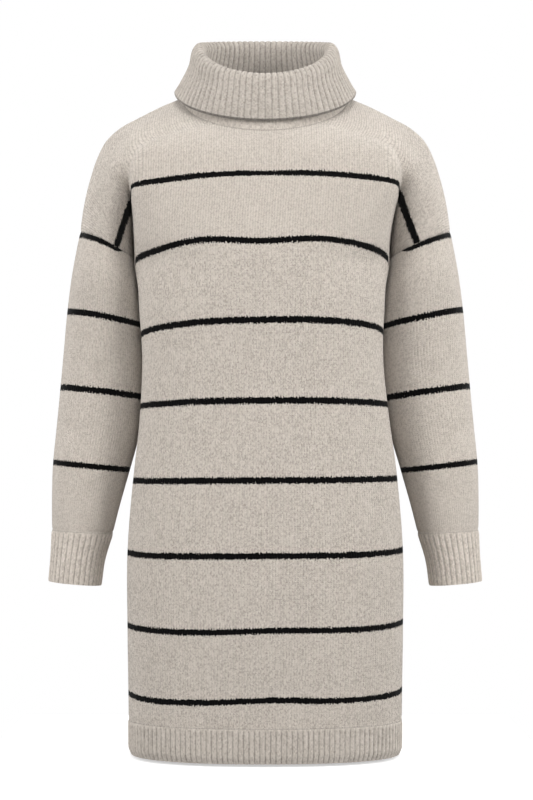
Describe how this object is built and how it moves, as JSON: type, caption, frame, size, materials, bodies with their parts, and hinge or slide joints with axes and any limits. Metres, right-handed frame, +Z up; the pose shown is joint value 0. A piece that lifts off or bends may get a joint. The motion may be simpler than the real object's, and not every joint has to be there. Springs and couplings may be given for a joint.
{
  "type": "tunic sweater",
  "caption": "Knitted tunic sweater with a folded ribbed roll collar, dropped shoulders, long sleeves, ribbed cuffs and hem, hollow as worn.",
  "frame": {"origin": "between the two shoulder points at the base of the neck, where the wearer's shoulders hold the garment up", "axes": "+X to the wearer's left, -Y to the front, +Z up; the garment hangs down along -Z"},
  "size_m": [0.562, 0.2313, 0.9409],
  "materials": {
    "knit": "beige heather stocking stitch with narrow black stripes",
    "rib": "beige heather ribbing"
  },
  "bodies": {
    "root": {"front": "knit", "back": "knit", "sleeve_left": "knit", "sleeve_right": "knit", "cuff_left": "rib", "cuff_right": "rib", "hem_front": "rib", "hem_back": "rib", "collar": "rib"}
  },
  "joints": []
}
